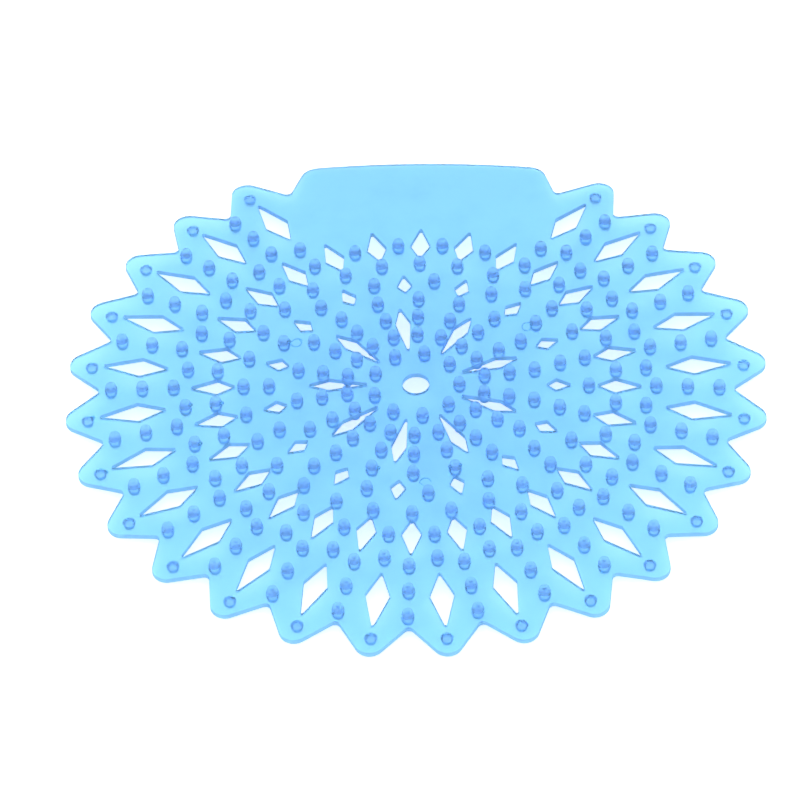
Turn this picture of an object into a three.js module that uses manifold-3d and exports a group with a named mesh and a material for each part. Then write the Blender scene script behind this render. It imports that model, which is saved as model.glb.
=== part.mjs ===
// Urinal deodorizer screen: a round grille moulded in one piece from soft, hazy blue plastic. Its rim is
// toothed, with a plain tab at the back, rings of kite-shaped drain holes run round a small centre hole,
// and short pegs stand on both faces, so that the sheet lies clear of the bowl and breaks up splashes.
// Millimetres, +Z up, the tab towards +Y, the outline's middle on the Z axis and the lowest points on z = 0.
// A bearing is turned from +Y towards +X, and a reach is measured from the centre hole's axis.
import * as THREE from "three";
import { mergeVertices } from "three/addons/utils/BufferGeometryUtils.js";
import Module from "manifold-3d";

// Sheet
const sheetThickness = 1.5;
const crownHeight = 2.1; // how far the sheet's middle stands over the ring at crownReach
const crownReach = 80;
const tabBend = 3.5; // how far the tab's edge is bent down below that crown
const tabBendStart = 37;

// Rim: a tooth to each pitch, but for the pitches that the tab takes
const rimPitches = 28;
const tabPitches = 4;
const toothReach = 91.5;
const endToothExtra = 1.6; // the teeth next to the tab reach further, and each one after them half as much so
const toothRounding = 4;
const toothArcSteps = 4;
const toothDepth = 9.3;
const valleyRounding = 1.4;
const valleyArcSteps = 2;
const valleyReach = toothReach - toothDepth;

// Tab
const tabReach = 88.1;
const tabEdgeRise = 1.8; // how far the edge's middle stands out past its corners
const tabHalfWidth = 31.9;
const tabCornerRounding = 5;
const tabCornerSteps = 5;
const tabEdgeSteps = 6;

// Drain holes: each kite runs along a bearing from inner to outer and is widest at its waist
const rimKite = {
  inner: valleyReach - 17.3,
  waist: valleyReach - 9.6,
  outer: toothReach - 8.1,
  halfWidth: 3.2,
};
const middleKite = { inner: 46.9, waist: 51.9, outer: 59.3, halfWidth: 2.65 };
const smallKite = { inner: 33.9, waist: 36.5, outer: 40.7, halfWidth: 2.05 };
const petalKite = { inner: 11.1, waist: 22.7, outer: 28.5, halfWidth: 2 };
const smallKites = 15;
const firstSmallKite = 18; // bearing, degrees
const petals = 9;
const firstPetal = 30; // bearing, degrees
const centreHoleRadius = 3.5;
const centreHoleSides = 12;

// Pegs: five-sided, with the cross-section area of a round peg of pegRadius
const pegRadius = 1.6;
const topPegHeight = 1.6;
const underPegHeight = 1.8;
const pegSides = 5;

// Peg rings, by reach
const innerPegReach = 11.3; // between the petals' inner ends
const petalPegReaches = [18.1, 24.7, 31.3]; // beside the petals
const smallKitePegReach = 38.3; // between the small kites
const webPegReach = middleKite.inner - 1.9; // at the middle kites' inner ends
const waistPegReach = middleKite.waist + 0.4; // between the middle kites
const toothPegReach = rimKite.inner - 4.7; // at the rim kites' inner ends
const bridgePegReach = middleKite.outer + 3.6; // at the middle kites' outer ends
const outerPegReach = valleyReach - 2.9; // inward of the valleys
const betweenPegReach = (bridgePegReach + outerPegReach) / 2; // midway between those two
const tipPegInset = 5.8; // in the teeth, on the underside alone, inward of the tips

const fullTurn = 2 * Math.PI;
const pitch = fullTurn / rimPitches;
const halfTab = (tabPitches / 2) * pitch;
const teeth = rimPitches - tabPitches;

const wasm = await Module();
wasm.setup();

// The point at a reach along a bearing.
function at(reach, bearing) {
  return new THREE.Vector2(reach * Math.sin(bearing), reach * Math.cos(bearing));
}

// The bearings of count places, evenly spaced round the screen from the first one.
function allRound(count, first) {
  return Array.from({ length: count }, (_, i) => first + (i * fullTurn) / count);
}

const toothBearings = Array.from({ length: teeth }, (_, i) => halfTab + (i + 0.5) * pitch);
const innerValleyBearings = toothBearings.slice(1).map((bearing) => bearing - pitch / 2);
const valleyBearings = allRound(rimPitches, 0);
const petalBearings = allRound(petals, THREE.MathUtils.degToRad(firstPetal));
const smallKiteBearings = allRound(smallKites, THREE.MathUtils.degToRad(firstSmallKite));

// The arc that rounds a corner of the outline.
function roundedCorner(before, corner, after, radius, steps) {
  const back = before.clone().sub(corner).normalize();
  const ahead = after.clone().sub(corner).normalize();
  const halfAngle = Math.acos(back.dot(ahead)) / 2;
  const inward = back.clone().add(ahead).normalize();
  const centre = corner.clone().addScaledVector(inward, radius / Math.sin(halfAngle));
  const start = corner.clone().addScaledVector(back, radius / Math.tan(halfAngle));
  const sweep = (2 * halfAngle - Math.PI) * Math.sign(back.cross(ahead));
  const points = [];
  for (let i = 0; i <= steps; i++) {
    points.push(start.clone().rotateAround(centre, (sweep * i) / steps));
  }
  return points;
}

// How far a tooth reaches, by its place round the rim.
function reachOfTooth(index) {
  const fromTab = Math.min(index, teeth - 1 - index);
  return toothReach + endToothExtra * 0.5 ** fromTab;
}

// The round tip of a tooth, between the straight flanks that rise from the valleys beside it.
function toothTip(bearing, index) {
  const centreReach = reachOfTooth(index) - toothRounding;
  const valley = at(valleyReach, pitch / 2).sub(at(centreReach, 0));
  const halfArc = Math.atan2(valley.x, valley.y) - Math.acos(toothRounding / valley.length());
  const points = [];
  for (let i = 0; i <= toothArcSteps; i++) {
    const turned = bearing + halfArc * ((2 * i) / toothArcSteps - 1);
    points.push(at(centreReach, bearing).add(at(toothRounding, turned)));
  }
  return points;
}

// The tab's far side, from left to right: an edge that is arched a little, between two rounded corners.
function tabEdge() {
  const leftRoot = at(valleyReach, -halfTab);
  const rightRoot = at(valleyReach, halfTab);
  const edge = [];
  for (let i = 0; i <= tabEdgeSteps; i++) {
    const across = (2 * i) / tabEdgeSteps - 1;
    edge.push(new THREE.Vector2(across * tabHalfWidth, tabReach - tabEdgeRise * across ** 2));
  }
  const last = edge.length - 1;
  return [
    ...roundedCorner(leftRoot, edge[0], edge[1], tabCornerRounding, tabCornerSteps),
    ...edge.slice(1, last),
    ...roundedCorner(edge[last - 1], edge[last], rightRoot, tabCornerRounding, tabCornerSteps),
  ];
}

// The whole rim, clockwise from the tab: what stands out, with a rounded valley after each.
function rim() {
  const standing = [tabEdge(), ...toothBearings.map(toothTip)];
  return standing.flatMap((points, i) => {
    const before = points[points.length - 1];
    const after = standing[(i + 1) % standing.length][0];
    const valley = at(valleyReach, halfTab + i * pitch);
    return [...points, ...roundedCorner(before, valley, after, valleyRounding, valleyArcSteps)];
  });
}

function kite(size, bearing) {
  const side = Math.atan2(size.halfWidth, size.waist);
  const sideReach = Math.hypot(size.halfWidth, size.waist);
  return [
    at(size.inner, bearing),
    at(sideReach, bearing + side),
    at(size.outer, bearing),
    at(sideReach, bearing - side),
  ];
}

function drainHoles() {
  return [
    ...toothBearings.map((bearing) => kite(rimKite, bearing)),
    ...valleyBearings.map((bearing) => kite(middleKite, bearing)),
    ...smallKiteBearings.map((bearing) => kite(smallKite, bearing)),
    ...petalBearings.map((bearing) => kite(petalKite, bearing)),
    allRound(centreHoleSides, 0).map((bearing) => at(centreHoleRadius, bearing)),
  ];
}

// Every peg's place: beside each petal, between the holes of each ring and in the teeth.
function pegPlaces() {
  const besidePetal = fullTurn / petals / 4;
  const places = [];
  const addRing = (reach, bearings, onTop = true) => {
    bearings.forEach((bearing) => places.push({ reach, bearing, onTop, point: at(reach, bearing) }));
  };
  addRing(innerPegReach, petalBearings.map((bearing) => bearing + 2 * besidePetal));
  for (const reach of petalPegReaches) {
    addRing(reach, petalBearings.map((bearing) => bearing - besidePetal));
    addRing(reach, petalBearings.map((bearing) => bearing + besidePetal));
  }
  addRing(smallKitePegReach, smallKiteBearings.map((bearing) => bearing + fullTurn / smallKites / 2));
  addRing(webPegReach, valleyBearings);
  addRing(waistPegReach, valleyBearings.map((bearing) => bearing + pitch / 2));
  addRing(toothPegReach, toothBearings);
  for (const reach of [bridgePegReach, betweenPegReach, outerPegReach]) {
    addRing(reach, innerValleyBearings);
  }
  toothBearings.forEach((bearing, i) => addRing(reachOfTooth(i) - tipPegInset, [bearing], false));
  return places;
}

// A closed geometry as a solid that can be joined to others.
function solidFrom(geometry) {
  geometry.deleteAttribute("normal");
  geometry.deleteAttribute("uv");
  const merged = mergeVertices(geometry);
  const vertProperties = merged.attributes.position.array;
  const triVerts = new Uint32Array(merged.index.array);
  return new wasm.Manifold(new wasm.Mesh({ numProp: 3, vertProperties, triVerts }));
}

function geometryFrom(solid) {
  const { vertProperties, triVerts } = solid.getMesh();
  const geometry = new THREE.BufferGeometry();
  geometry.setAttribute("position", new THREE.BufferAttribute(vertProperties, 3));
  geometry.setIndex(new THREE.BufferAttribute(triVerts, 1));
  return geometry;
}

// An upright prism over an outline, from one height to another.
function prism(points, bottom, top) {
  const options = { depth: top - bottom, bevelEnabled: false };
  const geometry = new THREE.ExtrudeGeometry(new THREE.Shape(points), options);
  return solidFrom(geometry.translate(0, 0, bottom));
}

// The flat sheet with its holes, its middle plane on z = 0.
function sheetSolid() {
  const cuts = drainHoles().map((points) => prism(points, -sheetThickness, sheetThickness));
  return prism(rim(), -sheetThickness / 2, sheetThickness / 2).subtract(joined(cuts));
}

// One peg, through the sheet where it stands on both faces, with a flat side square to its bearing.
function pegSolid(place) {
  const cornerAngle = fullTurn / pegSides;
  const cornerRadius = pegRadius * Math.sqrt(cornerAngle / Math.sin(cornerAngle));
  const corners = allRound(pegSides, place.bearing + cornerAngle / 2);
  const section = corners.map((bearing) => at(cornerRadius, bearing).add(place.point));
  const bottom = -sheetThickness / 2 - underPegHeight;
  const top = place.onTop ? sheetThickness / 2 + topPegHeight : 0;
  return prism(section, bottom, top);
}

// Joins solids in pairs, then the pairs, until one is left.
function joined(solids) {
  if (solids.length === 1) {
    return solids[0];
  }
  const middle = Math.ceil(solids.length / 2);
  return joined(solids.slice(0, middle)).add(joined(solids.slice(middle)));
}

// How far the resting sheet has sunk below its flat form: the crown falls away all round, and the tab's
// end is bent down further.
function sinkAt(x, y) {
  const crown = (crownHeight * (x * x + y * y)) / crownReach ** 2;
  const alongTab = Math.max(0, y - tabBendStart) / (tabReach - tabBendStart);
  return crown + tabBend * alongTab ** 2;
}

// The slope that brings the pegs next to the tab and those opposite the tab down on one level.
function restingSlope() {
  const near = at(reachOfTooth(0) - tipPegInset, toothBearings[0]);
  const far = at(reachOfTooth(teeth / 2) - tipPegInset, toothBearings[teeth / 2]);
  return (sinkAt(near.x, near.y) - sinkAt(far.x, far.y)) / (near.y - far.y);
}

// Sinks the flat screen to its resting form. A peg moves as one, so that its ends stay flat.
function settle(geometry, places) {
  const slope = restingSlope();
  const position = geometry.getAttribute("position");
  for (let i = 0; i < position.count; i++) {
    const spot = new THREE.Vector2(position.getX(i), position.getY(i));
    if (Math.abs(position.getZ(i)) > 0.6 * sheetThickness) {
      const peg = places.find((place) => place.point.distanceTo(spot) < 1.5 * pegRadius);
      spot.copy(peg.point);
    }
    position.setZ(i, position.getZ(i) - sinkAt(spot.x, spot.y) + slope * spot.y);
  }
  geometry.computeBoundingBox();
  const { min, max } = geometry.boundingBox;
  return geometry.translate(0, -(min.y + max.y) / 2, -min.z);
}

const softPlastic = new THREE.MeshStandardMaterial({
  name: "soft_plastic",
  color: 0x8edcff,
  roughness: 0.35,
  metalness: 0,
  transparent: true,
  opacity: 0.85,
  flatShading: true,
});

const pegs = pegPlaces();
const screenSolid = sheetSolid().add(joined(pegs.map(pegSolid)));
const screen = new THREE.Mesh(settle(geometryFrom(screenSolid), pegs), softPlastic);
screen.name = "screen";

const group = new THREE.Group();
group.name = "urinal_deodorizer_screen";
group.add(screen);

export default group;
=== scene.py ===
"""A round drain screen of hazy blue soft plastic, with its stage: a toothed sheet with a plain tab, rings
of kite-shaped holes, and short round pegs on both faces. Everything is in metres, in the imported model's
frame."""

import math

import bpy
import numpy as np
from bpy.props import FloatProperty, FloatVectorProperty, IntProperty, PointerProperty
from mathutils import Matrix, Vector
from mathutils.geometry import delaunay_2d_cdt


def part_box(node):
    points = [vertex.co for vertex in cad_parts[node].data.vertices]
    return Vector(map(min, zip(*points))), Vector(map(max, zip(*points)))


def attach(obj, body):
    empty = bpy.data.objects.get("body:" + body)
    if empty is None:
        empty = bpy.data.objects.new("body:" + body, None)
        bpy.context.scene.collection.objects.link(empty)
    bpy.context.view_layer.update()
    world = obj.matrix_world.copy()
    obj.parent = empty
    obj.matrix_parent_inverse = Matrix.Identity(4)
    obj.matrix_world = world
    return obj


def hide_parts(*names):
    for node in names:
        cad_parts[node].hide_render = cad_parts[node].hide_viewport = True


bl_info = {
    "name": "Drain Screen Maker",
    "version": (1, 0, 0),
    "blender": (4, 5, 0),
    "location": "3D Viewport > Sidebar > Drain Screen",
    "description": "Models a toothed drain screen of soft plastic, with pegs on both faces, and lights it",
    "category": "Add Mesh",
}

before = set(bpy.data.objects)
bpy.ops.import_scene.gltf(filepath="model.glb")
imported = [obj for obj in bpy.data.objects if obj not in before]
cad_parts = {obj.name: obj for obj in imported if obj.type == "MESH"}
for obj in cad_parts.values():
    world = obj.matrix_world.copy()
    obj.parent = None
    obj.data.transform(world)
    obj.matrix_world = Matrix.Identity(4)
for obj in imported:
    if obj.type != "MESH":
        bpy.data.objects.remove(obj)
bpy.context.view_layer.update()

MM = 0.001
FULL_TURN = 2 * math.pi

# Bearings of the first petal hole and of the first small hole
PETAL_TURN = math.radians(30)
SMALL_TURN = math.radians(18)
# Share of a grid step that the sheet's inner points keep from every outline
GRID_CLEARANCE = 0.45
# Thickness of a thread at its two ends, as a share of the rest
THREAD_END_SHARE = 0.35


def length(name, description, default):
    """A size in metres that a user can change."""
    return FloatProperty(name=name, description=description, default=default, unit="LENGTH", precision=5)


def kite_sizes(name, default):
    """The sizes of one ring's kite-shaped holes."""
    return FloatVectorProperty(
        name=name,
        description="Reach of the inner end, of the waist and of the outer end, and half the width",
        default=default,
        size=4,
        unit="LENGTH",
        precision=5,
    )


def colour(name, description, default):
    """A plain colour that a user can change."""
    return FloatVectorProperty(
        name=name, description=description, default=default, size=3, min=0, max=1, subtype="COLOR"
    )


class SheetSizes(bpy.types.PropertyGroup):
    """The sheet with its rim, tab and holes."""

    thickness: length("Thickness", "Thickness of the sheet", 1.5 * MM)
    edge_rounding: length("Edge rounding", "Radius along every edge of the sheet", 0.2 * MM)
    crown_height: length(
        "Crown height", "How far the middle stands over the ring at the crown reach", 2.1 * MM
    )
    crown_reach: length("Crown reach", "Where the crown height is measured", 80 * MM)
    tab_bend: length("Tab bend", "How far the tab's edge is bent down below the crown", 3.5 * MM)
    tab_bend_start: length("Tab bend start", "Where the bend begins, from the middle", 37 * MM)
    rim_pitches: IntProperty(name="Rim pitches", description="Even steps round the rim", default=28, min=12)
    tab_pitches: IntProperty(name="Tab pitches", description="Steps that the tab takes", default=4, min=2)
    tooth_reach: length("Tooth reach", "From the middle to a tooth's tip", 91.5 * MM)
    end_tooth_extra: length("End tooth extra", "How much further the teeth beside the tab reach", 1.6 * MM)
    tooth_rounding: length("Tooth rounding", "Radius of a tooth's tip", 4 * MM)
    tooth_depth: length("Tooth depth", "From a tip to the valleys beside it", 9.3 * MM)
    valley_rounding: length("Valley rounding", "Radius between two teeth", 1.4 * MM)
    tab_reach: length("Tab reach", "From the middle to the tab's edge", 88.1 * MM)
    tab_edge_rise: length("Tab edge rise", "How far the edge's middle stands out past its corners", 1.8 * MM)
    tab_half_width: length("Tab half width", "Half the length of the tab's edge", 31.9 * MM)
    tab_corner_rounding: length("Tab corner rounding", "Radius of the tab's corners", 5 * MM)
    rim_kite: kite_sizes("Rim holes", (64.9 * MM, 72.6 * MM, 83.4 * MM, 3.2 * MM))
    middle_kite: kite_sizes("Middle holes", (46.9 * MM, 51.9 * MM, 59.3 * MM, 2.65 * MM))
    small_kite: kite_sizes("Small holes", (33.9 * MM, 36.5 * MM, 40.7 * MM, 2.05 * MM))
    petal_kite: kite_sizes("Petal holes", (11.1 * MM, 22.7 * MM, 28.5 * MM, 2 * MM))
    kite_corner_rounding: length("Hole corner rounding", "Radius of the holes' corners", 0.35 * MM)
    small_kites: IntProperty(
        name="Small holes round", description="Holes in the small ring", default=15, min=3
    )
    petals: IntProperty(name="Petal holes round", description="Holes in the petal ring", default=9, min=3)
    centre_hole_radius: length("Centre hole radius", "Radius of the hole in the middle", 3.5 * MM)
    grid_step: length("Grid step", "Spacing of the points inside the sheet's faces", 4 * MM)


class PegSizes(bpy.types.PropertyGroup):
    """The pegs on both faces."""

    radius: length("Radius", "Radius of a peg at its foot", 1.64 * MM)
    taper: length("Taper", "How much thinner a peg is at its end", 0.22 * MM)
    top_height: length("Top height", "How far the pegs stand over the sheet", 1.8 * MM)
    under_height: length("Underside height", "How far the pegs reach below the sheet", 1.8 * MM)
    end_rounding: length("End rounding", "Radius round a peg's end", 0.9 * MM)
    sides: IntProperty(name="Sides", description="Faint flats round a peg", default=18, min=8)
    flatness: FloatProperty(name="Flatness", description="How flat those look", default=0.8, subtype="FACTOR")
    between_petals: length("Between petals", "Reach of the innermost ring of pegs", 11.3 * MM)
    beside_petals: FloatVectorProperty(
        name="Beside petals",
        description="Reaches of the three rings of pegs beside the petal holes",
        default=(18.1 * MM, 24.7 * MM, 31.3 * MM),
        size=3,
        unit="LENGTH",
        precision=5,
    )
    between_small: length("Between small holes", "Reach of the pegs between the small holes", 38.3 * MM)
    before_middle: length("Before middle holes", "From those pegs to the middle holes' inner ends", 1.9 * MM)
    past_waist: length(
        "Past middle waists", "From the middle holes' waists to the pegs between them", 0.4 * MM
    )
    before_rim: length("Before rim holes", "From those pegs to the rim holes' inner ends", 4.7 * MM)
    valley_insets: FloatVectorProperty(
        name="Valley insets",
        description="How far the three outer rings of pegs stand inward of the valleys",
        default=(2.9 * MM, 11.1 * MM, 19.3 * MM),
        size=3,
        unit="LENGTH",
        precision=5,
    )
    valley_offset: FloatVectorProperty(
        name="Valley offset",
        description="How far those rings stand off the even pattern",
        default=(-0.4 * MM, 0.4 * MM),
        size=2,
        unit="LENGTH",
        precision=5,
    )
    tip_inset: length("Tip inset", "How far the underside pegs stand inward of the teeth's tips", 5.8 * MM)


class FlashSizes(bpy.types.PropertyGroup):
    """Threads and nibs of plastic that the mould has left."""

    thread_radius: length("Thread radius", "Half the thickness of a thread", 0.14 * MM)
    thread_rise: length("Thread rise", "How far the threads lie over the sheet", 0.25 * MM)
    nib_radius: length("Nib radius", "Radius of a nib on a peg's side", 0.5 * MM)
    nib_rise: length("Nib rise", "Height of the nibs over the sheet", 0.9 * MM)
    nib_drop: length("Nib drop", "Depth of the underside's nibs below the sheet", 0.45 * MM)


class PlasticLook(bpy.types.PropertyGroup):
    """The hazy soft plastic."""

    surface: colour("Surface", "Colour of the plastic's surface by the rim", (0.41, 0.89, 1.0))
    # Painted shade: besides the faint random clouds, this deeper blue is painted over the middle and fades
    # out towards the rim.
    cloud_and_shade: colour("Cloud", "Its colour in the middle and in the faint clouds", (0.33, 0.77, 1.0))
    # Painted shade: how far out the deeper blue painted over the middle reaches, and its share in the middle.
    middle_shade_reach: length("Cloud reach", "How far out the cloud's colour fades by its whole", 95 * MM)
    middle_shade_share: FloatProperty(
        name="Cloud share", description="Share of the cloud's colour in the middle", default=0.85
    )
    cloud_contrast: FloatProperty(
        name="Cloud contrast", description="How strongly the faint clouds show", default=1.4
    )
    cloud_scale: FloatProperty(
        name="Cloud scale", description="How many clouds there are to a metre", default=130
    )
    grain_scale: FloatProperty(
        name="Grain scale", description="How many rises of the skin there are to a metre", default=420
    )
    grain_strength: FloatProperty(
        name="Grain strength", description="How far the skin's rises show", default=0.35, subtype="FACTOR"
    )
    grain_height: length("Grain height", "Height of the skin's rises", 0.2 * MM)
    # Painted shade: walls and peg sides get this deeper blue by how upright they face. It stands in for the
    # darker look of light that travels further through the plastic.
    upright_painted_shade: colour("Upright", "Colour of walls and peg sides, which show more depth", (0.38, 0.74, 1.0))
    depth: colour("Depth", "Colour that the plastic takes with depth", (0.0, 0.05, 1.0))
    density: FloatProperty(name="Density", description="How soon that colour deepens, per metre", default=110)
    clearness: FloatProperty(
        name="Clearness", description="Share of light that passes the surface", default=0.9, subtype="FACTOR"
    )
    upright_clearness: FloatProperty(
        name="Upright clearness",
        description="The same share on walls and peg sides",
        default=0.6,
        subtype="FACTOR",
    )
    upright_roughness: FloatProperty(
        name="Upright roughness", description="Haze of walls and peg sides", default=1.0, subtype="FACTOR"
    )
    roughness: FloatProperty(
        name="Roughness", description="Haze of the surface", default=0.3, subtype="FACTOR"
    )
    haze_spread: FloatProperty(
        name="Haze spread", description="How far the clouds change that haze", default=0.06
    )
    index: FloatProperty(name="Index", description="Index of refraction", default=1.3)


class StudioSettings(bpy.types.PropertyGroup):
    """The floor, the light and the camera."""

    floor: colour("Floor", "Colour of the floor", (0.95, 0.95, 0.95))
    floor_width: length("Floor width", "Width of the floor", 4.0)
    floor_lift: FloatProperty(
        name="Floor lift", description="Light added to the floor as it is seen", default=0.56
    )
    floor_lift_through: FloatProperty(
        name="Floor lift through", description="The same through plastic or mirrored in it", default=0.7
    )
    sky: colour("Sky", "Colour of the light all round", (1.0, 1.0, 1.0))
    sky_strength: FloatProperty(name="Sky strength", description="Strength of that light", default=1.0)
    camera_distance: length("Camera distance", "From the camera to the point it looks at", 1.629)
    camera_elevation: FloatProperty(
        name="Camera elevation",
        description="Height of the view above the horizon",
        default=math.radians(45.656),
        subtype="ANGLE",
        unit="ROTATION",
    )
    camera_azimuth: FloatProperty(
        name="Camera azimuth",
        description="How far the camera stands to the right of the tab's axis",
        default=math.radians(3.188),
        subtype="ANGLE",
        unit="ROTATION",
    )
    camera_roll: FloatProperty(
        name="Camera roll",
        description="How far the camera is turned about its own axis",
        default=math.radians(-2.537),
        subtype="ANGLE",
        unit="ROTATION",
    )
    camera_aim: FloatVectorProperty(
        name="Camera aim",
        description="The point that the camera looks at",
        default=(-4.05 * MM, -3.78 * MM, 5.81 * MM),
        size=3,
        subtype="TRANSLATION",
        unit="LENGTH",
        precision=5,
    )
    lens: FloatProperty(name="Lens", description="Focal length in millimetres", default=282.2)


def at(reach, bearing):
    """The point at a reach from the middle, along a bearing turned from +Y towards +X."""
    return np.array([reach * math.sin(bearing), reach * math.cos(bearing)])


def all_round(count, first=0.0):
    """The bearings of count places, evenly spaced from the first one."""
    return [first + FULL_TURN * i / count for i in range(count)]


def unit(vector):
    return vector / np.linalg.norm(vector)


def turned(vector, angle):
    c, s = math.cos(angle), math.sin(angle)
    return np.array([c * vector[0] - s * vector[1], s * vector[0] + c * vector[1]])


def rounded_corner(before, corner, after, radius, steps):
    """The arc that rounds a corner of an outline."""
    back, ahead = unit(before - corner), unit(after - corner)
    half_angle = math.acos(np.clip(back @ ahead, -1, 1)) / 2
    centre = corner + unit(back + ahead) * radius / math.sin(half_angle)
    start = corner + back * radius / math.tan(half_angle)
    sweep = math.copysign(math.pi - 2 * half_angle, ahead[0] * back[1] - ahead[1] * back[0])
    return [centre + turned(start - centre, sweep * i / steps) for i in range(steps + 1)]


def with_steps(points, longest):
    """A closed outline with points added along its long straights."""
    stepped = []
    for start, end in zip(points, points[1:] + points[:1]):
        parts = max(1, math.ceil(np.linalg.norm(end - start) / longest))
        stepped += [start + (end - start) * i / parts for i in range(parts)]
    return stepped


class Layout:
    """Where the teeth, holes and pegs are, in the flat sheet."""

    def __init__(self, sheet, pegs):
        self.sheet, self.pegs = sheet, pegs
        self.pitch = FULL_TURN / sheet.rim_pitches
        self.half_tab = self.pitch * sheet.tab_pitches / 2
        self.teeth = sheet.rim_pitches - sheet.tab_pitches
        self.valley_reach = sheet.tooth_reach - sheet.tooth_depth
        self.tooth_bearings = [self.half_tab + (i + 0.5) * self.pitch for i in range(self.teeth)]
        self.valley_bearings = all_round(sheet.rim_pitches)
        self.petal_bearings = all_round(sheet.petals, PETAL_TURN)
        self.small_bearings = all_round(sheet.small_kites, SMALL_TURN)

    def reach_of_tooth(self, index):
        """The teeth beside the tab reach further, and each one after them half as much so."""
        from_tab = min(index, self.teeth - 1 - index)
        return self.sheet.tooth_reach + self.sheet.end_tooth_extra * 0.5**from_tab

    def tooth_tip(self, index):
        rounding = self.sheet.tooth_rounding
        bearing = self.tooth_bearings[index]
        centre_reach = self.reach_of_tooth(index) - rounding
        valley = at(self.valley_reach, self.pitch / 2) - at(centre_reach, 0)
        half_arc = math.atan2(valley[0], valley[1]) - math.acos(rounding / np.linalg.norm(valley))
        steps = 12
        return [
            at(centre_reach, bearing) + at(rounding, bearing + half_arc * (2 * i / steps - 1))
            for i in range(steps + 1)
        ]

    def tab_edge(self):
        """The tab's far side, from left to right."""
        s = self.sheet
        across = np.linspace(-1, 1, 17)
        edge = [np.array([u * s.tab_half_width, s.tab_reach - s.tab_edge_rise * u * u]) for u in across]
        left_root, right_root = at(self.valley_reach, -self.half_tab), at(self.valley_reach, self.half_tab)
        kept = edge[2:-2]
        return (
            rounded_corner(left_root, edge[0], edge[2], s.tab_corner_rounding, 8)
            + kept
            + rounded_corner(edge[-3], edge[-1], right_root, s.tab_corner_rounding, 8)
        )

    def rim(self):
        """The whole rim, clockwise from the tab, with a rounded valley after all that stands out."""
        standing = [self.tab_edge()] + [self.tooth_tip(i) for i in range(self.teeth)]
        points = []
        for i, part in enumerate(standing):
            following = standing[(i + 1) % len(standing)][0]
            valley = at(self.valley_reach, self.half_tab + i * self.pitch)
            points += part
            points += rounded_corner(part[-1], valley, following, self.sheet.valley_rounding, 5)
        return with_steps(points, self.sheet.grid_step)

    def kite(self, sizes, bearing):
        inner, waist, outer, half_width = sizes
        side, side_reach = math.atan2(half_width, waist), math.hypot(half_width, waist)
        corners = [
            at(inner, bearing),
            at(side_reach, bearing + side),
            at(outer, bearing),
            at(side_reach, bearing - side),
        ]
        points = []
        for i in range(4):
            before, corner, after = corners[i - 1], corners[i], corners[(i + 1) % 4]
            steps = 4 if i % 2 == 0 else 2
            points += rounded_corner(before, corner, after, self.sheet.kite_corner_rounding, steps)
        return with_steps(points, self.sheet.grid_step)

    def holes(self):
        s = self.sheet
        made = [self.kite(s.rim_kite, b) for b in self.tooth_bearings]
        made += [self.kite(s.middle_kite, b) for b in self.valley_bearings]
        made += [self.kite(s.small_kite, b) for b in self.small_bearings]
        made += [self.kite(s.petal_kite, b) for b in self.petal_bearings]
        made.append([at(s.centre_hole_radius, b) for b in all_round(40)])
        return made

    def peg_places(self):
        """The pegs that stand on both faces, then those on the underside alone."""
        s, p = self.sheet, self.pegs
        beside = FULL_TURN / s.petals / 4
        inner_valleys = [b - self.pitch / 2 for b in self.tooth_bearings[1:]]
        both = [at(p.between_petals, b + 2 * beside) for b in self.petal_bearings]
        for reach in p.beside_petals:
            both += [at(reach, b + side) for b in self.petal_bearings for side in (-beside, beside)]
        both += [at(p.between_small, b + FULL_TURN / s.small_kites / 2) for b in self.small_bearings]
        both += [at(s.middle_kite[0] - p.before_middle, b) for b in self.valley_bearings]
        both += [at(s.middle_kite[1] + p.past_waist, b + self.pitch / 2) for b in self.valley_bearings]
        both += [at(s.rim_kite[0] - p.before_rim, b) for b in self.tooth_bearings]
        for inset in p.valley_insets:
            both += [at(self.valley_reach - inset, b) + np.array(p.valley_offset) for b in inner_valleys]
        under = [at(self.reach_of_tooth(i) - p.tip_inset, b) for i, b in enumerate(self.tooth_bearings)]
        return both, under


class RestingForm:
    """How the flat sheet sinks to the form in which it rests."""

    def __init__(self, layout):
        s = self.sheet = layout.sheet
        near = at(layout.reach_of_tooth(0) - layout.pegs.tip_inset, layout.tooth_bearings[0])
        middle = layout.teeth // 2
        far = at(layout.reach_of_tooth(middle) - layout.pegs.tip_inset, layout.tooth_bearings[middle])
        self.slope = float((self.sunk(near) - self.sunk(far)) / (near[1] - far[1]))
        self.lift = float(self.sunk(far) - self.slope * far[1]) + s.thickness / 2 + layout.pegs.under_height
        self.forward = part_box("screen")[1].y - s.tab_reach

    def sunk(self, places):
        """How far the crown and the tab's bend have sunk below the flat, at points x, y."""
        s = self.sheet
        x, y = places[..., 0], places[..., 1]
        along = np.maximum(0, y - s.tab_bend_start) / (s.tab_reach - s.tab_bend_start)
        return s.crown_height * (x * x + y * y) / s.crown_reach**2 + s.tab_bend * along**2

    def drop(self, places):
        return self.sunk(places) - self.slope * places[..., 1]

    def tilt(self, places):
        """The slope of the drop along x and y."""
        step = 0.1 * MM
        sideways, forwards = np.array([step, 0]), np.array([0, step])
        along_x = (self.drop(places + sideways) - self.drop(places - sideways)) / (2 * step)
        along_y = (self.drop(places + forwards) - self.drop(places - forwards)) / (2 * step)
        return np.stack([along_x, along_y], axis=-1)


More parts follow.
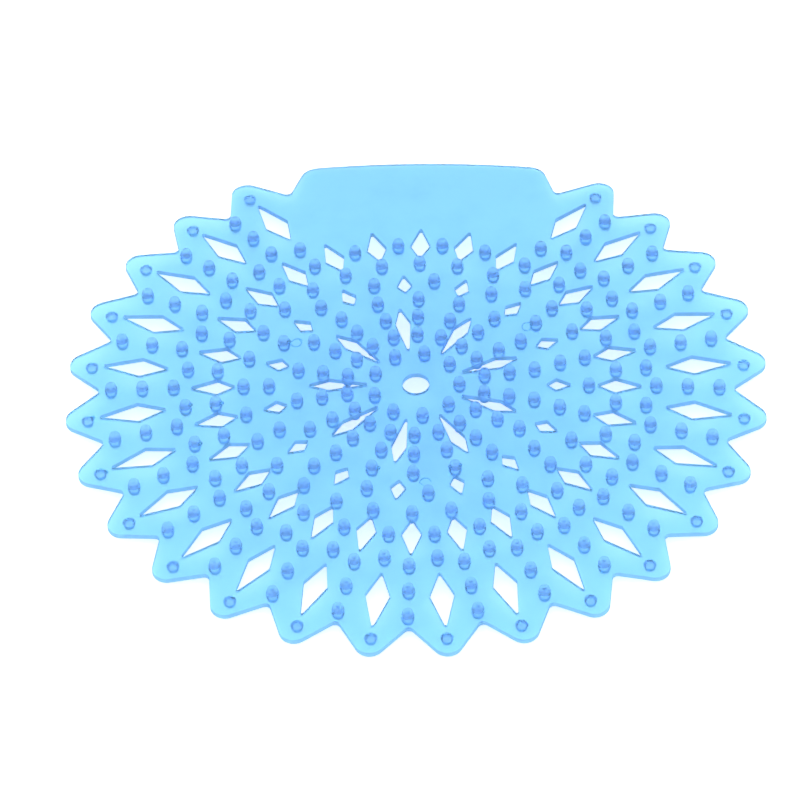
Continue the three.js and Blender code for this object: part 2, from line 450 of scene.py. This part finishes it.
class MeshParts:
    """Collects points, and faces with a normal at each corner."""

    def __init__(self):
        self.points, self.anchors, self.faces, self.normals = [], [], [], []
        self.count = 0

    def add_points(self, flat, heights, anchors=None):
        """Adds points at flat x, y and a height each. A point sinks as its anchor does, by default itself."""
        flat = np.asarray(flat, float)
        heights = np.broadcast_to(heights, len(flat))
        self.points.append(np.column_stack([flat, heights]))
        self.anchors.append(flat if anchors is None else np.broadcast_to(anchors, flat.shape))
        first = self.count
        self.count += len(flat)
        return np.arange(first, self.count)

    def add_faces(self, corners, normals):
        self.faces += corners.tolist()
        self.normals.append(normals.reshape(-1, 3))

    def band(self, lower, upper, lower_normals, upper_normals, flats=0.0):
        """A ring of quads between two closed rows of points that run anticlockwise seen from outside."""
        following = np.roll(np.arange(len(lower)), -1)
        corners = np.stack([lower, lower[following], upper[following], upper], axis=1)
        normals = np.stack(
            [lower_normals, lower_normals[following], upper_normals[following], upper_normals], axis=1
        )
        normals += flats * (normals.mean(axis=1, keepdims=True) - normals)
        self.add_faces(corners, normals)


def material_side(points):
    """The offset of each point into the material, on the outline's left, that keeps the walls even."""
    points = np.asarray(points)
    ahead = np.roll(points, -1, axis=0) - points
    ahead /= np.linalg.norm(ahead, axis=1, keepdims=True)
    left = np.column_stack([-ahead[:, 1], ahead[:, 0]])
    before = np.roll(left, 1, axis=0)
    return (left + before) / (1 + np.sum(left * before, axis=1, keepdims=True))


def area_of(points):
    x, y = np.asarray(points).T
    return 0.5 * np.sum(x * np.roll(y, -1) - y * np.roll(x, -1))


def inside(places, outline):
    """Whether each place lies inside an outline."""
    within = np.zeros(len(places), bool)
    for (x0, y0), (x1, y1) in zip(outline, np.roll(outline, -1, axis=0)):
        if y0 == y1:
            continue
        crosses = (y0 > places[:, 1]) != (y1 > places[:, 1])
        meet = x0 + (places[:, 1] - y0) / (y1 - y0) * (x1 - x0)
        within ^= crosses & (places[:, 0] < meet)
    return within


def grid_inside(outline, openings, kept_clear, step):
    """Points of a triangular grid inside the outline, out of its openings and off every point kept clear."""
    reach = np.abs(outline).max()
    rows = []
    for i, y in enumerate(np.arange(-reach, reach, step * math.sqrt(0.75))):
        xs = np.arange(-reach, reach, step) + (i % 2) * step / 2
        rows.append(np.column_stack([xs, np.full(len(xs), y)]))
    places = np.vstack(rows)
    places = places[inside(places, outline)]
    for opening in openings:
        places = places[~inside(places, opening)]
    nearest = np.array([np.min(np.sum((kept_clear - place) ** 2, axis=1)) for place in places])
    return places[nearest > (GRID_CLEARANCE * step) ** 2]


def screen_mesh(sheet, pegs):
    """The whole moulding as one closed mesh."""
    layout = Layout(sheet, pegs)
    form = RestingForm(layout)
    half, rounding = sheet.thickness / 2, sheet.edge_rounding

    # Outlines, each with the material on its left
    outlines = [np.array(layout.rim())] + [np.array(hole) for hole in layout.holes()]
    for i, outline in enumerate(outlines):
        wanted = 1 if i == 0 else -1
        if area_of(outline) * wanted < 0:
            outlines[i] = outline[::-1]
    sides = [material_side(outline) for outline in outlines]
    insets = [outline + side * rounding for outline, side in zip(outlines, sides)]

    # Rings at the feet of the pegs
    both, under = layout.peg_places()
    around = np.array([at(1, -bearing) for bearing in all_round(pegs.sides)])
    feet = [place + around * pegs.radius for place in both + under]

    # The flat of both faces, as one set of triangles
    loops = insets + feet
    starts = np.cumsum([0] + [len(loop) for loop in loops])
    rings = [np.arange(a, b) for a, b in zip(starts, starts[1:])]
    loop_points = np.vstack(loops)
    grid = grid_inside(insets[0], loops[1:], loop_points, sheet.grid_step)
    flat = np.vstack([loop_points, grid])
    loop_of = np.full(len(flat), -1)
    for i, ring in enumerate(rings):
        loop_of[ring] = i
    edges = [(int(a), int(b)) for ring in rings for a, b in zip(ring, np.roll(ring, -1))]
    made = delaunay_2d_cdt([Vector(place) for place in flat / MM], edges, [], 0, 1e-5, True)
    source = np.array([ids[0] for ids in made[3]])
    triangles = source[np.array(made[2])]
    owner = loop_of[triangles]
    whole = (owner[:, 0] == owner[:, 1]) & (owner[:, 1] == owner[:, 2]) & (owner[:, 0] > 0)
    loop_index = np.where(whole, owner[:, 0], -1)
    centres = flat[triangles].mean(axis=1)
    in_sheet = inside(centres, insets[0])
    first_foot, first_under = len(insets), len(insets) + len(both)
    in_hole = (loop_index > 0) & (loop_index < first_foot)
    in_peg = (loop_index >= first_foot) & (loop_index < first_under)
    in_under_peg = loop_index >= first_under
    first, second, third = (flat[triangles[:, i]] for i in range(3))
    clockwise = np.cross(second - first, third - first) < 0
    triangles[clockwise] = triangles[clockwise][:, ::-1]

    parts = MeshParts()
    top = parts.add_points(flat, half)
    bottom = parts.add_points(flat, -half)
    up, down = np.array([0.0, 0.0, 1.0]), np.array([0.0, 0.0, -1.0])
    top_faces = triangles[in_sheet & ~in_hole & ~in_peg]
    parts.add_faces(top[top_faces], np.broadcast_to(up, top_faces.shape + (3,)))
    bottom_faces = triangles[in_sheet & ~in_hole & ~in_peg & ~in_under_peg][:, ::-1]
    parts.add_faces(bottom[bottom_faces], np.broadcast_to(down, bottom_faces.shape + (3,)))

    # Rounded edges and walls
    for outline, side, ring in zip(outlines, sides, rings):
        outward = -side / np.linalg.norm(side, axis=1, keepdims=True)
        rows = []
        for face, angle in ((1, 90), (1, 45), (1, 0), (-1, 0), (-1, 45), (-1, 90)):
            level = math.radians(angle)
            rises = np.full(len(side), face * math.sin(level))
            normals = np.column_stack([outward * math.cos(level), rises])
            if angle == 90:
                points = (top if face > 0 else bottom)[ring]
            else:
                height = face * (half - rounding + rounding * math.sin(level))
                points = parts.add_points(outline + side * rounding * (1 - math.cos(level)), height)
            rows.append((points, normals))
        for (upper, upper_normals), (lower, lower_normals) in zip(rows, rows[1:]):
            parts.band(lower, upper, lower_normals, upper_normals)

    # Pegs
    for i, place in enumerate(both + under):
        ring = rings[first_foot + i]
        if i < len(both):
            add_peg(parts, pegs, place, around, top[ring], half, 1, pegs.top_height)
        add_peg(parts, pegs, place, around, bottom[ring], -half, -1, pegs.under_height)

    return settled(parts, form, "screen_moulding")


def add_peg(parts, pegs, place, around, foot, face_height, direction, height):
    """One peg on one face: a slightly tapered side, a rounded edge and a slightly crowned end."""
    rounding, end_radius = pegs.end_rounding, pegs.radius - pegs.taper
    rows = [(foot, np.column_stack([around, np.zeros(len(around))]))]
    for angle in (0, 30, 60, 85):
        level = math.radians(angle)
        radius = end_radius - rounding * (1 - math.cos(level))
        rise = height - rounding + rounding * math.sin(level)
        points = parts.add_points(place + around * radius, face_height + direction * rise, place)
        rises = np.full(len(around), direction * math.sin(level))
        normals = np.column_stack([around * math.cos(level), rises])
        rows.append((points, normals))
    for i, ((low, low_normals), (high, high_normals)) in enumerate(zip(rows, rows[1:])):
        flats = pegs.flatness if i < 2 else 0.0
        if direction > 0:
            parts.band(low, high, low_normals, high_normals, flats)
        else:
            parts.band(high, low, high_normals, low_normals, flats)
    end = parts.add_points([place], face_height + direction * height, place)
    last, last_normals = rows[-1]
    following = np.roll(np.arange(len(last)), -1)
    ends = np.full(len(last), end[0])
    end_normals = np.broadcast_to(np.array([0.0, 0.0, direction]), last_normals.shape)
    corners = np.stack([last, last[following], ends], axis=1)
    normals = np.stack([last_normals, last_normals[following], end_normals], axis=1)
    if direction < 0:
        corners, normals = corners[:, ::-1], normals[:, ::-1]
    parts.add_faces(corners, normals)


def curl(centre, radius, first, turn, stretch=1.0):
    """A loop of thread: an arc from a bearing, through a turn, stretched sideways."""
    steps = max(6, math.ceil(abs(turn) / math.radians(20)))
    arc = [at(radius, first + turn * i / steps) for i in range(steps + 1)]
    return [np.array(centre) + np.array([x * stretch, y]) for x, y in arc]


def thread_courses():
    """The courses of the threads over the flat sheet, each with the end that hangs on a peg."""
    turn = math.radians
    left_peg, far_left_peg = np.array([-33.6, 15.0]) * MM, np.array([-33.2, 15.1]) * MM
    right_peg, front_peg = np.array([29.9, 22.6]) * MM, np.array([2.9, -36.3]) * MM
    return [
        [left_peg, *curl(np.array([-31.75, 15.0]) * MM, 1.4 * MM, turn(-100), turn(-230))],
        [far_left_peg, *curl(np.array([-31.4, 15.0]) * MM, 1.5 * MM, turn(-60), turn(120))],
        [right_peg, *curl(np.array([28.6, 20.5]) * MM, 1.5 * MM, turn(20), turn(-330), 0.8)],
        [*curl(np.array([3.2, -35.1]) * MM, 1.5 * MM, turn(80), turn(-170)), front_peg],
    ]


def nib_places():
    """The nibs on pegs of the upper face, then those on the underside, in the flat sheet."""
    on_left = [(-58.3, -7.2), (-55.2, -20.9), (-50.2, -6.9), (-33.5, 15.0)]
    in_front = [(-8.9, -30.6), (9.4, -30.3), (12.1, -29.8)]
    under_teeth = [(-83.9, -8.2), (-79.4, -27.6)]
    return np.array(on_left + in_front) * MM, np.array(under_teeth) * MM


def add_thread(parts, course, radius, height, sides=8):
    """A round thread along a course, with a point at each end."""
    course = np.array(course)
    ahead = np.gradient(course, axis=0)
    ahead /= np.linalg.norm(ahead, axis=1, keepdims=True)
    across = np.column_stack([-ahead[:, 1], ahead[:, 0]])
    rings = []
    for i, (place, aside) in enumerate(zip(course, across)):
        thickness = radius * (THREAD_END_SHARE if i in (0, len(course) - 1) else 1)
        turns = np.array(all_round(sides))
        flat = place + np.outer(np.cos(turns), aside) * thickness
        points = parts.add_points(flat, height + np.sin(turns) * thickness)
        normals = np.column_stack([np.outer(np.cos(turns), aside), np.sin(turns)])
        rings.append((points, normals))
    for (start, start_normals), (end, end_normals) in zip(rings, rings[1:]):
        parts.band(start, end, start_normals, end_normals)
    for (points, _), direction, tangent in ((rings[0], -1, ahead[0]), (rings[-1], 1, ahead[-1])):
        corners = points[None, ::direction]
        facing = np.array([*(tangent * direction), 0.0])
        parts.add_faces(corners, np.broadcast_to(facing, corners.shape + (3,)))


def add_nib(parts, place, radius, height):
    """A small blob of plastic at a height over the sheet's middle."""
    turns = np.array(all_round(8))
    around = np.column_stack([np.cos(turns), np.sin(turns)])
    rows = []
    for angle in (-60, -25, 15, 55):
        level = math.radians(angle)
        flat = place + around * radius * math.cos(level)
        points = parts.add_points(flat, height + radius * math.sin(level))
        rows.append((points, np.column_stack([around * math.cos(level), np.full(8, math.sin(level))])))
    for (low, low_normals), (high, high_normals) in zip(rows, rows[1:]):
        parts.band(low, high, low_normals, high_normals)
    for (points, _), direction in ((rows[0], -1), (rows[-1], 1)):
        corners = points[None, ::direction]
        parts.add_faces(corners, np.broadcast_to(np.array([0.0, 0.0, direction]), corners.shape + (3,)))


def flash_mesh(sheet, pegs, flash):
    """The threads and nibs."""
    form = RestingForm(Layout(sheet, pegs))
    parts = MeshParts()
    half = sheet.thickness / 2
    for course in thread_courses():
        add_thread(parts, course, flash.thread_radius, half + flash.thread_rise)
    on_top, under = nib_places()
    for place in on_top:
        add_nib(parts, place, flash.nib_radius, half + flash.nib_rise)
    for place in under:
        add_nib(parts, place, flash.nib_radius, -half - flash.nib_drop)
    return settled(parts, form, "screen_flash")


def settled(parts, form, name):
    """The mesh of the collected parts, sunk from the flat to its resting form."""
    points, anchors = np.vstack(parts.points), np.vstack(parts.anchors)
    own = np.all(points[:, :2] == anchors, axis=1)
    slopes = np.where(own[:, None], form.tilt(points[:, :2]), 0)
    points[:, 2] += form.lift - form.drop(anchors)
    points[:, 1] += form.forward
    corner_slopes = slopes[np.concatenate([np.array(face) for face in parts.faces])]
    normals = np.vstack(parts.normals).copy()
    normals[:, :2] += normals[:, 2:] * corner_slopes
    normals /= np.linalg.norm(normals, axis=1, keepdims=True)
    mesh = bpy.data.meshes.new(name)
    mesh.from_pydata(points.tolist(), [], parts.faces, shade_flat=False)
    mesh.normals_split_custom_set(normals.tolist())
    mesh.update()
    return mesh


class Socket:
    """A shader value that can be used in Python expressions."""

    def __init__(self, shader, link):
        self.shader, self.link = shader, link

    def maths(self, operation, a, b):
        return self.shader.node("ShaderNodeMath", {"operation": operation}, {0: a, 1: b})[0]

    def __add__(self, other):
        return self.maths("ADD", self, other)

    __radd__ = __add__

    def __mul__(self, other):
        return self.maths("MULTIPLY", self, other)

    __rmul__ = __mul__

    def __abs__(self):
        return self.maths("ABSOLUTE", self, 0.0)

    def __sub__(self, other):
        return self.maths("SUBTRACT", self, other)

    def __rsub__(self, other):
        return self.maths("SUBTRACT", other, self)

    def __or__(self, other):
        """The greater of two values, so that either of two marks counts."""
        return self.maths("MAXIMUM", self, other)

    __ror__ = __or__


class Shader:
    """Adds nodes to a node tree."""

    def __init__(self, tree):
        self.tree = tree
        tree.nodes.clear()

    def node(self, kind, settings=None, inputs=None):
        """Adds a node of a kind, makes its settings, fills its inputs and returns its outputs."""
        made = self.tree.nodes.new(kind)
        for name, value in (settings or {}).items():
            setattr(made, name, value)
        for name, value in (inputs or {}).items():
            if isinstance(value, Socket):
                self.tree.links.new(value.link, made.inputs[name])
            else:
                made.inputs[name].default_value = value
        return Outputs(self, made)

    def blended(self, factor, first, second):
        """A colour between two colours."""
        return self.node(
            "ShaderNodeMix", {"data_type": "RGBA"}, {0: factor, 6: first, 7: second}
        )["Result", 2]


class Outputs:
    """The outputs of a node, by name or place."""

    def __init__(self, shader, made):
        self.shader, self.made = shader, made

    def __getitem__(self, key):
        place = key[1] if isinstance(key, tuple) else key
        return Socket(self.shader, self.made.outputs[place])


def rgba(value):
    return (*value, 1.0)


def soft_plastic(look):
    """Hazy, see-through plastic that turns bluer with depth, with faint clouds and a slightly uneven skin,
    painted shade that deepens the blue towards the middle, and painted shade on walls and peg sides.
    """
    material = bpy.data.materials.new("hazy_blue_soft_plastic")
    material.use_nodes = True
    shader = Shader(material.node_tree)
    on_surface = shader.node("ShaderNodeTexCoord")
    place = on_surface["Object"]
    level = abs(shader.node("ShaderNodeSeparateXYZ", {}, {"Vector": on_surface["Normal"]})["Z"])
    clouds = shader.node(
        "ShaderNodeTexNoise",
        {"noise_dimensions": "3D"},
        {"Vector": place, "Scale": look.cloud_scale, "Detail": 3},
    )[0]
    reach = shader.node("ShaderNodeVectorMath", {"operation": "LENGTH"}, {0: place})["Value", 1]
    grain = shader.node(
        "ShaderNodeTexNoise",
        {"noise_dimensions": "3D"},
        {"Vector": place, "Scale": look.grain_scale, "Detail": 2},
    )[0]
    # Painted shade: a deeper blue laid over the middle, fading out towards the rim; the noise below adds the
    # real random clouds.
    middle_shade = look.middle_shade_share - reach * (1 / look.middle_shade_reach)
    cloud_and_shade_mix = middle_shade + look.cloud_contrast * (clouds - 0.5)
    tint = shader.blended(cloud_and_shade_mix, rgba(look.surface), rgba(look.cloud_and_shade))
    skin = shader.node(
        "ShaderNodeBump",
        {},
        {"Strength": look.grain_strength, "Distance": look.grain_height, "Height": grain},
    )[0]
    # A second copy of the plastic for walls and peg sides. Its colour is the painted deeper shade, and it is
    # mixed in by how upright each face is.
    upright_painted_shade, level_part = (
        shader.node(
            "ShaderNodeBsdfPrincipled",
            {},
            {
                "Base Color": base,
                "Roughness": haze,
                "IOR": look.index,
                "Transmission Weight": clearness,
                "Normal": skin,
            },
        )[0]
        for base, haze, clearness in (
            (rgba(look.upright_painted_shade), look.upright_roughness, look.upright_clearness),
            (tint, look.roughness + look.haze_spread * (clouds - 0.5), look.clearness),
        )
    )
    body = shader.node("ShaderNodeMixShader", {}, {0: level, 1: upright_painted_shade, 2: level_part})[0]
    depth = shader.node(
        "ShaderNodeVolumeAbsorption", {}, {"Color": rgba(look.depth), "Density": look.density}
    )[0]
    shader.node("ShaderNodeOutputMaterial", {}, {"Surface": body, "Volume": depth})
    return material


def new_object(name, data):
    made = bpy.data.objects.new(name, data)
    bpy.context.scene.collection.objects.link(made)
    return made


def plastic_of(scene):
    """The scene's soft plastic, made once for all that is moulded from it."""
    return bpy.data.materials.get("hazy_blue_soft_plastic") or soft_plastic(scene.screen_plastic)


class SCREEN_OT_mould(bpy.types.Operator):
    """Make the screen: sheet, toothed rim, tab, holes and pegs as one moulding"""

    bl_idname = "drain_screen.mould"
    bl_label = "Mould Screen"

    def execute(self, context):
        scene = context.scene
        mesh = screen_mesh(scene.screen_sheet, scene.screen_pegs)
        mesh.materials.append(plastic_of(scene))
        moulding = new_object("moulding", mesh)
        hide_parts("screen")
        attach(moulding, "root")
        return {"FINISHED"}


class SCREEN_OT_flash(bpy.types.Operator):
    """Add the thin threads and small nibs that the mould has left on the pegs"""

    bl_idname = "drain_screen.flash"
    bl_label = "Add Flash"

    def execute(self, context):
        scene = context.scene
        mesh = flash_mesh(scene.screen_sheet, scene.screen_pegs, scene.screen_flash)
        mesh.materials.append(plastic_of(scene))
        flash = new_object("flash", mesh)
        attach(flash, "root")
        return {"FINISHED"}


def floor_material(studio):
    """A pale floor that keeps the screen's shadow, and is lifted to white where it is seen."""
    material = bpy.data.materials.new("pale_floor")
    material.use_nodes = True
    shader = Shader(material.node_tree)
    path = shader.node("ShaderNodeLightPath")
    through = path["Is Transmission Ray"] | path["Is Glossy Ray"]
    seen = studio.floor_lift * path["Is Camera Ray"] + studio.floor_lift_through * through
    matt = shader.node("ShaderNodeBsdfDiffuse", {}, {"Color": rgba(studio.floor)})[0]
    lift = shader.node(
        "ShaderNodeEmission", {}, {"Color": rgba(studio.sky), "Strength": seen}
    )[0]
    both = shader.node("ShaderNodeAddShader", {}, {0: matt, 1: lift})[0]
    shader.node("ShaderNodeOutputMaterial", {}, {"Surface": both})
    return material


class SCREEN_OT_stage(bpy.types.Operator):
    """Set the floor, the light and the camera"""

    bl_idname = "drain_screen.stage"
    bl_label = "Set Stage"

    def execute(self, context):
        studio = context.scene.screen_studio
        self.lay_floor(studio)
        self.light(studio)
        self.place_camera(context.scene, studio)
        context.scene.view_settings.view_transform = "Standard"
        return {"FINISHED"}

    def lay_floor(self, studio):
        half = studio.floor_width / 2
        mesh = bpy.data.meshes.new("floor")
        corners = [(-half, -half, 0), (half, -half, 0), (half, half, 0), (-half, half, 0)]
        mesh.from_pydata(corners, [], [(0, 1, 2, 3)])
        mesh.materials.append(floor_material(studio))
        new_object("floor", mesh)

    def light(self, studio):
        world = bpy.data.worlds.new("sky")
        world.use_nodes = True
        shader = Shader(world.node_tree)
        sky = shader.node(
            "ShaderNodeBackground", {}, {"Color": rgba(studio.sky), "Strength": studio.sky_strength}
        )[0]
        shader.node("ShaderNodeOutputWorld", {}, {"Surface": sky})
        bpy.context.scene.world = world

    def place_camera(self, scene, studio):
        data = bpy.data.cameras.new("camera")
        data.sensor_fit = "HORIZONTAL"
        data.sensor_width = 36
        data.lens = studio.lens
        camera = new_object("camera", data)
        level, side = studio.camera_elevation, studio.camera_azimuth
        back = Vector((math.sin(side) * math.cos(level), -math.cos(side) * math.cos(level), math.sin(level)))
        turn = (-back).to_track_quat("-Z", "Y").to_matrix().to_4x4()
        roll = Matrix.Rotation(studio.camera_roll, 4, "Z")
        place = Vector(studio.camera_aim) + back * studio.camera_distance
        camera.matrix_world = Matrix.Translation(place) @ turn @ roll
        scene.camera = camera


class SCREEN_PT_panel(bpy.types.Panel):
    """The steps in the sidebar"""

    bl_idname = "SCREEN_PT_panel"
    bl_label = "Drain Screen"
    bl_space_type = "VIEW_3D"
    bl_region_type = "UI"
    bl_category = "Drain Screen"

    def draw(self, context):
        for operator in (SCREEN_OT_mould, SCREEN_OT_flash, SCREEN_OT_stage):
            self.layout.operator(operator.bl_idname)
        scene = context.scene
        for group in (scene.screen_sheet, scene.screen_pegs, scene.screen_flash, scene.screen_plastic):
            for name in group.__annotations__:
                self.layout.prop(group, name)


CLASSES = (
    SheetSizes,
    PegSizes,
    FlashSizes,
    PlasticLook,
    StudioSettings,
    SCREEN_OT_mould,
    SCREEN_OT_flash,
    SCREEN_OT_stage,
    SCREEN_PT_panel,
)


def register():
    for cls in CLASSES:
        bpy.utils.register_class(cls)
    bpy.types.Scene.screen_sheet = PointerProperty(type=SheetSizes)
    bpy.types.Scene.screen_pegs = PointerProperty(type=PegSizes)
    bpy.types.Scene.screen_flash = PointerProperty(type=FlashSizes)
    bpy.types.Scene.screen_plastic = PointerProperty(type=PlasticLook)
    bpy.types.Scene.screen_studio = PointerProperty(type=StudioSettings)


def unregister():
    del bpy.types.Scene.screen_studio
    del bpy.types.Scene.screen_plastic
    del bpy.types.Scene.screen_flash
    del bpy.types.Scene.screen_pegs
    del bpy.types.Scene.screen_sheet
    for cls in reversed(CLASSES):
        bpy.utils.unregister_class(cls)


def main():
    register()
    bpy.ops.drain_screen.mould()
    bpy.ops.drain_screen.flash()
    bpy.ops.drain_screen.stage()


if __name__ == "__main__":
    main()
